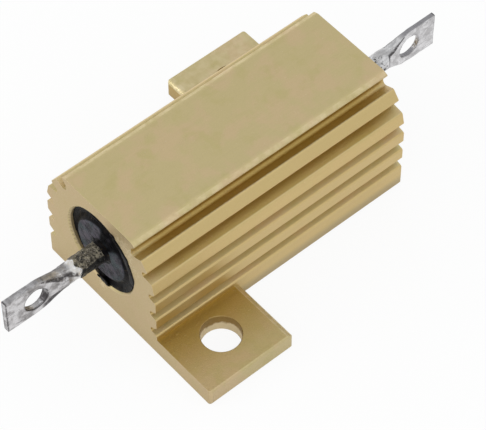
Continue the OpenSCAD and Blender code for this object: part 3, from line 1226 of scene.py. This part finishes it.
@dataclass
class Collar(TurnedPiece):
    """Sealant that crept up the foot of the shank, spread wider on one side, where its black also stands for
    painted shade beside the shank.

    Grip is where the collar starts, as a share of the shank's radius.
    """

    grip: float = 0.92
    height: float = 0.45
    reach: float = 0.55
    foot: float = 0.25
    sunk: float = 0.02
    # the side where the collar spreads wider, as painted shade beside the shank
    pulled: Sector = Sector(145, 50)
    lopsided: float = 0.6
    unevenness: float = 0.06
    points: int = 14
    steps: int = 96

    def build(self) -> bpy.types.Object:
        """Turns the collar and pulls it to one side.

        Returns:
            The collar.
        """
        inner = self.bore.shank * self.grip
        slope = [(self.bore.shank + self.sunk + self.reach * (i / self.points) ** 1.6,
                  self.height * (1 - i / self.points) ** 2.4 - self.sunk) for i in range(self.points + 1)]
        outline = [(inner, -self.foot), (inner, self.height), *slope, (slope[-1][0], -self.foot)]

        def pull(radius: float, bearing: float, out: float, place: Vector) -> Span:
            """Spreads the collar towards the side in shade, as painted shade, and roughens it."""
            wide = max(0.0, radius - self.bore.shank) * (1 + self.lopsided * self.pulled.holds(bearing))
            rough = self.unevenness * wobble(place, 2.2, 3.0 * self.end.value) * ramp(wide, 0.0, 0.2)
            return min(radius, self.bore.shank) + wide + rough, out + rough * 0.5

        return to_object(self.moulded(outline, pull), f"shank_collar_{self.end.tag}", self.paint.silicone)


@dataclass(frozen=True)
class Blob:
    """A flat drop of sealant on the end face: its place across and up from the axis, and its two radii."""

    across: float
    up: float
    half_width: float
    half_height: float


@dataclass
class Overflow(TurnedPiece):
    """Sealant that ran over the rim of the bore and set on the end face."""

    thickness: float = 0.07
    voxel: float = 0.035
    hung: Sector = Sector(152.0, 48.0)
    lip_lap: float = 0.15
    lip_reach: float = 0.26
    lip_back: float = 0.4
    lip_points: int = 8
    lip_raggedness: float = 0.07
    drawn: float = 1.3
    buried: float = 0.8
    raggedness: float = 0.1
    blobs: tuple[Blob, ...] = (
        Blob(0.35, 4.02, 0.6, 0.1), Blob(-1.75, 3.86, 0.42, 0.24), Blob(-0.15, -3.9, 0.58, 0.3),
        Blob(-0.55, -4.05, 0.3, 0.24), Blob(0.5, -3.95, 0.24, 0.16))

    def build(self) -> bpy.types.Object:
        """Makes the lip and the drops, joins them into skins and roughens them.

        Returns:
            The overflow.
        """
        shape = self._lip()
        for blob in self.blobs:
            place = Vector((self.end.value * self.bore.end, -self.end.value * blob.across,
                            self.bore.height + blob.up)) * MM
            size = Matrix.Diagonal((self.thickness * MM, blob.half_width * MM, blob.half_height * MM, 1))
            bmesh.ops.create_icosphere(shape, subdivisions=4, radius=1.0,
                                       matrix=Matrix.Translation(place) @ size)
        for vert in shape.verts:
            vert.co.y += self.raggedness * MM * wobble(vert.co, 1.3, 5.0)
            vert.co.z += self.raggedness * MM * wobble(vert.co, 1.5, 12.0)
        skin = skinned(shape, self.voxel, 6)
        return to_object(skin, f"sealant_overflow_{self.end.tag}", self.paint.silicone, SKIN_ANGLE)

    def _lip(self) -> bmesh.types.BMesh:
        """A turned lip that hangs over the rim on one side and stays buried in the seal elsewhere."""
        inner, outer = self.bore.wall - self.lip_back, self.bore.wall + self.lip_reach
        shares = [i / self.lip_points for i in range(self.lip_points + 1)]
        top = [(outer + (inner - outer) * share,
                self.thickness * math.sin(math.pi * share ** 0.6 * 0.8 + 0.1)) for share in shares]

        def hang(radius: float, bearing: float, out: float, place: Vector) -> Span:
            """Draws the lip back and sinks it away from its own side."""
            here = self.hung.holds(bearing)
            past = max(0.0, radius - self.bore.wall + self.lip_lap) * (1 - here)
            rough = self.lip_raggedness * wobble(place, 1.4, 9.0) * here * ramp(radius, self.bore.wall, outer)
            return radius - past * self.drawn + rough, out - self.buried * (1 - here)

        return self.moulded([(inner, -0.3), (outer, -0.04), *top], hang)


@dataclass
class Crust(TurnedPiece):
    """Burnt flux baked on to a shank, blacker on its lower side, which is burnt flux and painted shade."""

    start: float = -0.1
    length: float = 2.75
    thickness: float = 0.07
    lump_height: float = 0.07
    ragged: float = 0.22
    # burnt flux and painted shade on the shank's lower side
    blackened: Sector = Sector(188, 46)
    fading: Span = (0.8, 2.6)
    faded: float = 0.45
    patchiness: float = 0.45
    rings: int = 90
    steps: int = 120

    def build(self) -> bpy.types.Object:
        """Turns a thin tube round the shank, then makes it lumpy and ragged.

        Returns:
            The crust.
        """
        inner, skin = self.bore.shank - self.thickness, self.bore.shank + self.thickness
        outside = [(skin, self.start + self.length * i / self.rings) for i in range(self.rings + 1)]

        def bake(radius: float, bearing: float, out: float, place: Vector) -> Span:
            """Lumps on the outside, and an end that stops unevenly."""
            along = out - self.start
            stretch = 1 + self.ragged * along / self.length * wobble(Vector((0, place.y, place.z)), 1.1, 14.0)
            lump = lumps(place, (1.6, 1.0), (4.2, 2.0), 0.6) if radius > self.bore.shank else 0.0
            return radius + self.lump_height * lump, self.start + along * stretch

        shape = self.moulded([(inner, self.start + self.length), (inner, self.start), *outside], bake)
        burnt = shape.verts.layers.float.new(Mark.BURNT.value)
        for vert in shape.verts:
            _, bearing, out = self.bore.polar(self.end, vert.co)
            # blacker on the lower side: burnt flux and painted shade
            black = self.blackened.holds(bearing) * (1 - self.faded * ramp(out, *self.fading))
            vert[burnt] = ramp(black + self.patchiness * wobble(vert.co, 1.9, 21.0), 0.35, 0.6)
        return to_object(shape, f"flux_crust_{self.end.tag}", self.paint.flux, SKIN_ANGLE)


@dataclass(frozen=True)
class TinHabit:
    """What differs from one terminal to the other.

    Narrow_sides is how dark its narrow sides are, bare how much painted highlight its root gets and
    polish how much painted highlight brightens all of it. Burnt_reach is how far out the soot
    goes. The pressed face starts at press_from and is full at press_to. Lean and low are where its upper and
    lower borders start across the rod, in half widths, and squeeze is the share of the thickness that the
    press takes off.
    """

    sheared: float
    bare: float
    polish: float
    burnt_reach: float
    press_from: float
    press_to: float
    lean: float
    low: float
    squeeze: float


HABITS = {
    End.LEFT: TinHabit(sheared=0.35, bare=0.8, polish=0.0, burnt_reach=1.0, press_from=3.0, press_to=5.7,
                       lean=0.15, low=0.45, squeeze=0.1),
    End.RIGHT: TinHabit(sheared=0.85, bare=0.12, polish=0.3, burnt_reach=3.5, press_from=3.5, press_to=4.9,
                        lean=-0.45, low=1.0, squeeze=0.3)}


@dataclass
class Terminal(EndPiece):
    """A tinned rod whose outer end is pressed flat and pierced.

    Places along the rod are distances out of the body's end. A line is the span of distances over which a
    dark line of painted shade fades out, and a turn is the span over which the normal's part along an axis
    does the same.
    """

    voxel: float = 0.05
    lump_height: float = 0.03
    lump_scale: float = 0.9
    edge_angle: float = 35.0
    edge_step: float = 0.05
    rims_from: float = 4.4
    rim_line: Span = (0.05, 0.17)
    flare_to: float = 6.6
    flare_end: float = 0.6
    flat: Span = (5.6, 6.4)
    side_turn: Span = (0.6, 0.9)
    soot_fade: Span = (-0.4, 0.3)
    soot_raggedness: float = 0.9
    root_from: Span = (2.2, 2.7)
    root_to: Span = (3.1, 3.8)
    root_raggedness: float = 0.4
    press_edge: Span = (-0.5, 0.05)
    press_raggedness: float = 0.2
    top_tilt: float = 0.5
    top_turn: Span = (0.25, 0.45)
    face_turn: Span = (0.35, 0.65)
    face_line: Span = (0.13, 0.3)
    foot_line: Span = (0.12, 0.28)

    def __post_init__(self) -> None:
        """Looks up what this end's terminal is like."""
        self.name = f"terminal_{self.end.tag}"
        self.habit = HABITS[self.end]
        self.seed = 4.0 + self.end.value

    def build(self) -> bpy.types.Object:
        """Rounds the pressed edges, makes the tin uneven and marks painted shade along the rims, the darker
        narrow sides and a painted highlight near the root.

        Returns:
            The piece that stands for the terminal.
        """
        low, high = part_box(self.name)
        shape = merged_copy(self.name)
        rims = self._rims(shape)
        skin = skinned(shape, self.voxel, 3)
        layers = {mark: skin.verts.layers.float.new(mark.value)
                  for mark in (Mark.RIM, Mark.SHEARED, Mark.BURNT, Mark.BARE)}
        half = (high.z - low.z) / MM / 2
        moves = [(vert, *self._pressed(vert, half), vert.normal * MM * self.lump_height * lumps(
            vert.co, (self.lump_scale, self.seed), (3.1, self.seed + 9), 0.7)) for vert in skin.verts]
        for vert, pressed, _, move in moves:
            vert.co.y *= 1 - self.habit.squeeze * pressed
            vert.co += move
            vert.co.x = max(low.x, min(high.x, vert.co.x))
        skin.normal_update()
        for vert, _, border, _ in moves:
            for mark, share in self._marks(vert, border, rims).items():
                vert[layers[mark]] = share
        piece = to_object(skin, f"{self.name}_tinned", self.paint.tinned, SKIN_ANGLE)
        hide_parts(self.name)
        return piece

    def _marks(self, vert: bmesh.types.BMVert, border: float, rims: kdtree.KDTree) -> dict[Mark, float]:
        """The marks that a point carries.

        Args:
            vert: The point, after it is moved.
            border: How near it lies to the pressed face's border.
            rims: Points along the sharp edges of the lug.

        Returns:
            The share of each mark.
        """
        habit, place = self.habit, vert.co
        out = self.bore.polar(self.end, place)[2]
        up = max(0.0, place.z / MM - self.bore.height)
        soot = out + 0.4 * up + self.soot_raggedness * wobble(place, 1.8, self.seed) - habit.burnt_reach
        # painted highlight near the root, with a ragged reach
        fresh = out + self.root_raggedness * wobble(place, 1.1, self.seed + 3)
        near_root = ramp(fresh, *self.root_from) * (1 - ramp(fresh, *self.root_to))
        # the narrow sides, which face up and down, are darker
        narrow = ramp(out, *self.flat) * ramp(abs(vert.normal.z), *self.side_turn)
        # the edge shade mark is painted shade along the rims and the pressed face's border
        return {Mark.RIM: max(1 - ramp(rims.find(place)[2] / MM, *self.rim_line), border),
                Mark.SHEARED: narrow * habit.sheared,
                Mark.BURNT: 1 - ramp(soot, *self.soot_fade),
                Mark.BARE: max(habit.polish, habit.bare * near_root)}

    def _pressed(self, vert: bmesh.types.BMVert, half: float) -> Span:
        """How far a point lies inside the pressed face, and how near it lies to that face's border.

        Args:
            vert: The point, before it is moved.
            half: Half the lug's width in millimetres.

        Returns:
            Two shares from zero to one. Both are zero where the rod is round, and the second is zero again
            where the lug is flat.
        """
        habit, place, shank = self.habit, vert.co, self.bore.shank
        out = self.bore.polar(self.end, place)[2] + self.press_raggedness * wobble(place, 1.2, 18.0)
        up = place.z / MM - self.bore.height + self.press_raggedness / 2 * wobble(place, 2.4, 19.0)
        share = (out - habit.press_from) / (habit.press_to - habit.press_from)
        crest = shank + (half - shank) * ramp(out, self.rims_from, self.flare_to)
        upper, lower = half * (habit.lean + (1 - habit.lean) * share), half * max(share, habit.low)
        over, under = up - min(crest, upper), -up - min(crest, lower)
        begun, ended = ramp(share, -0.1, 0.0), ramp(out, self.flare_to - self.flare_end, self.flare_to)
        on_top = 1 - ramp(abs(vert.normal.z - self.top_tilt), *self.top_turn)
        on_face = ramp(abs(vert.normal.y), *self.face_turn) * (1 - ramp(abs(over), *self.face_line))
        at_foot = 0.0 if lower > crest + 0.5 else 1 - ramp(abs(under + 0.2), *self.foot_line)
        # where the painted shade line along the pressed face's border runs
        border = max(on_top if upper > crest else on_face, at_foot)
        inside = 1 - ramp(max(over, under), *self.press_edge)
        return begun * max(ended, inside), begun * (1 - ended) * border

    def _rims(self, shape: bmesh.types.BMesh) -> kdtree.KDTree:
        """Points along the sharp edges of the lug, for finding how near a rim is."""
        limit = math.radians(self.edge_angle)
        spots = []
        for edge in shape.edges:
            start, stop = (vert.co for vert in edge.verts)
            far = self.bore.polar(self.end, start)[2] > self.rims_from
            if far and edge.is_manifold and edge.calc_face_angle() > limit:
                count = 1 + int(edge.calc_length() / MM / self.edge_step)
                spots += [start.lerp(stop, i / count) for i in range(count + 1)]
        tree = kdtree.KDTree(len(spots))
        for index, spot in enumerate(spots):
            tree.insert(spot, index)
        tree.balance()
        return tree


def left_end_scuffs(bore: Bore) -> tuple[Scuff, ...]:
    """The rubbed patches round the bore on the left end.

    Args:
        bore: The measured bore.

    Returns:
        The patches.
    """
    face = End.LEFT.value * bore.end
    return (Scuff((face, -3.1, bore.height + 3.5), 1.9, 0.26),
            Scuff((face, -4.4, bore.height + 1.8), 1.2, 0.22),
            Scuff((face, 0.0, bore.height - 4.8), 0.7, 0.28))


# --------------------------------------------------------------------------- the studio


@dataclass(frozen=True)
class Lamp:
    """A round lamp that faces the origin. Its power is in watts."""

    name: str
    place: tuple[float, float, float]
    size: float
    power: float

    def hang(self) -> None:
        """Makes the lamp."""
        data = bpy.data.lights.new(self.name, "AREA")
        data.shape = "DISK"
        data.size = self.size * MM
        data.energy = self.power
        lamp = bpy.data.objects.new(self.name, data)
        at = Vector(self.place) * MM
        lamp.matrix_world = Matrix.Translation(at) @ at.to_track_quat("Z", "Y").to_matrix().to_4x4()
        bpy.context.scene.collection.objects.link(lamp)


@dataclass
class Studio:
    """Floor, light and camera. The lens and the distances are millimetres, the angles degrees.

    The lamps are a softbox overhead, one low on the far side, a window on the left and a fill on the near
    side. Floor_seen and floor_mirrored are how white the floor is to the camera and in reflections.
    """

    azimuth: float = -40.623
    elevation: float = 53.202
    roll: float = -0.072
    distance: float = 222.892
    aim_right: float = 1.294
    aim_up: float = 0.028
    lens: float = 193.468
    clip: Span = (10.0, 10000.0)
    surround: float = 0.83
    floor_size: float = 1200.0
    floor_gap: float = 0.02
    floor_grey: float = 0.9
    floor_seen: float = 0.9
    floor_mirrored: float = 0.95
    contact_shade: float = 4.0
    lamps: tuple[Lamp, ...] = (
        Lamp("overhead", (70, -60, 300), 260, 0.06), Lamp("far_low", (130, 300, 90), 200, 0.04),
        Lamp("window", (-230, 140, 135), 110, 0.12), Lamp("fill", (-120, -200, 200), 260, 0.1))

    def build(self) -> None:
        """Makes the camera, the world, the lamps and the floor."""
        self._camera()
        self._world()
        for lamp in self.lamps:
            lamp.hang()
        self._floor()

    def _camera(self) -> None:
        """Places the camera by its bearing, height and distance from the origin."""
        turn, rise = math.radians(self.azimuth), math.radians(self.elevation)
        back = Vector((math.sin(turn) * math.cos(rise), -math.cos(turn) * math.cos(rise), math.sin(rise)))
        right = Vector((0, 0, 1)).cross(back).normalized()
        up = back.cross(right)
        lean = math.radians(self.roll)
        right, up = (right * math.cos(lean) + up * math.sin(lean),
                     up * math.cos(lean) - right * math.sin(lean))
        place = (right * self.aim_right + up * self.aim_up + back * self.distance) * MM
        data = bpy.data.cameras.new("camera")
        data.lens = self.lens
        data.clip_start, data.clip_end = (limit * MM for limit in self.clip)
        camera = bpy.data.objects.new("camera", data)
        camera.matrix_world = Matrix.Translation(place) @ Matrix((right, up, back)).transposed().to_4x4()
        bpy.context.scene.collection.objects.link(camera)
        bpy.context.scene.camera = camera

    def _world(self) -> None:
        """White to the camera, and a soft grey surround for the light."""
        world = bpy.data.worlds.new("surround")
        bpy.context.scene.world = world
        sheet = NodeSheet(emptied(world))
        path = sheet.add("ShaderNodeLightPath")
        seen = sheet.maths("MAXIMUM", path.outputs["Is Camera Ray"], path.outputs["Is Transmission Ray"])
        light = sheet.add("ShaderNodeBackground", {"Color": (0.98, 1, 1, 1), "Strength": self.surround})
        plain = sheet.add("ShaderNodeBackground", {"Color": (1, 1, 1, 1), "Strength": 1.0})
        both = sheet.add("ShaderNodeMixShader", {0: seen, 1: light.outputs[0], 2: plain.outputs[0]})
        sheet.add("ShaderNodeOutputWorld", {"Surface": both.outputs[0]})

    def _floor(self) -> None:
        """A pale floor that keeps a soft shadow and reads as white."""
        shape = bmesh.new()
        bmesh.ops.create_grid(shape, x_segments=1, y_segments=1, size=self.floor_size / 2 * MM)
        bmesh.ops.translate(shape, verts=shape.verts, vec=(0, 0, -self.floor_gap * MM))
        mesh = bpy.data.meshes.new("floor")
        shape.to_mesh(mesh)
        shape.free()
        material = bpy.data.materials.new("floor_white")
        sheet = NodeSheet(emptied(material))
        path = sheet.add("ShaderNodeLightPath").outputs
        matt = sheet.add("ShaderNodeBsdfDiffuse", {"Color": (*[self.floor_grey] * 3, 1)})
        plain = sheet.add("ShaderNodeEmission", {"Color": (1, 1, 1, 1), "Strength": 1.0})
        bare = sheet.add("ShaderNodeAmbientOcclusion", {"Distance": self.contact_shade * MM}, samples=8)
        mirrored = sheet.maths("MULTIPLY", path["Is Glossy Ray"], bare.outputs["AO"])
        seen = sheet.maths("MAXIMUM", sheet.maths("MULTIPLY", path["Is Camera Ray"], self.floor_seen),
                           sheet.maths("MULTIPLY", mirrored, self.floor_mirrored))
        both = sheet.add("ShaderNodeMixShader", {0: seen, 1: matt.outputs[0], 2: plain.outputs[0]})
        sheet.add("ShaderNodeOutputMaterial", {"Surface": both.outputs[0]})
        mesh.materials.append(material)
        floor = bpy.data.objects.new("floor", mesh)
        bpy.context.scene.collection.objects.link(floor)


def main() -> None:
    """Builds the resistor piece by piece, then the studio."""
    logging.basicConfig(level=logging.INFO, format="%(name)s: %(message)s")
    bpy.context.scene.view_settings.view_transform = "Standard"
    bore = Bore.measure()
    paint = Paintbox(left_end_scuffs(bore))
    Housing(paint, bore).build()
    for node, material in (("ceramic_core", paint.ceramic), ("resistance_winding", paint.wire),
                           ("moulded_filling", paint.compound), ("end_cap_left", paint.cap),
                           ("end_cap_right", paint.cap)):
        dress(node, material)
    for end in End:
        for piece in (Seal, Boss, Collar, Terminal):
            piece(paint, bore, end).build()
    Crust(paint, bore, End.LEFT).build()
    Overflow(paint, bore, End.LEFT).build()
    Studio().build()


if __name__ == "__main__":
    main()
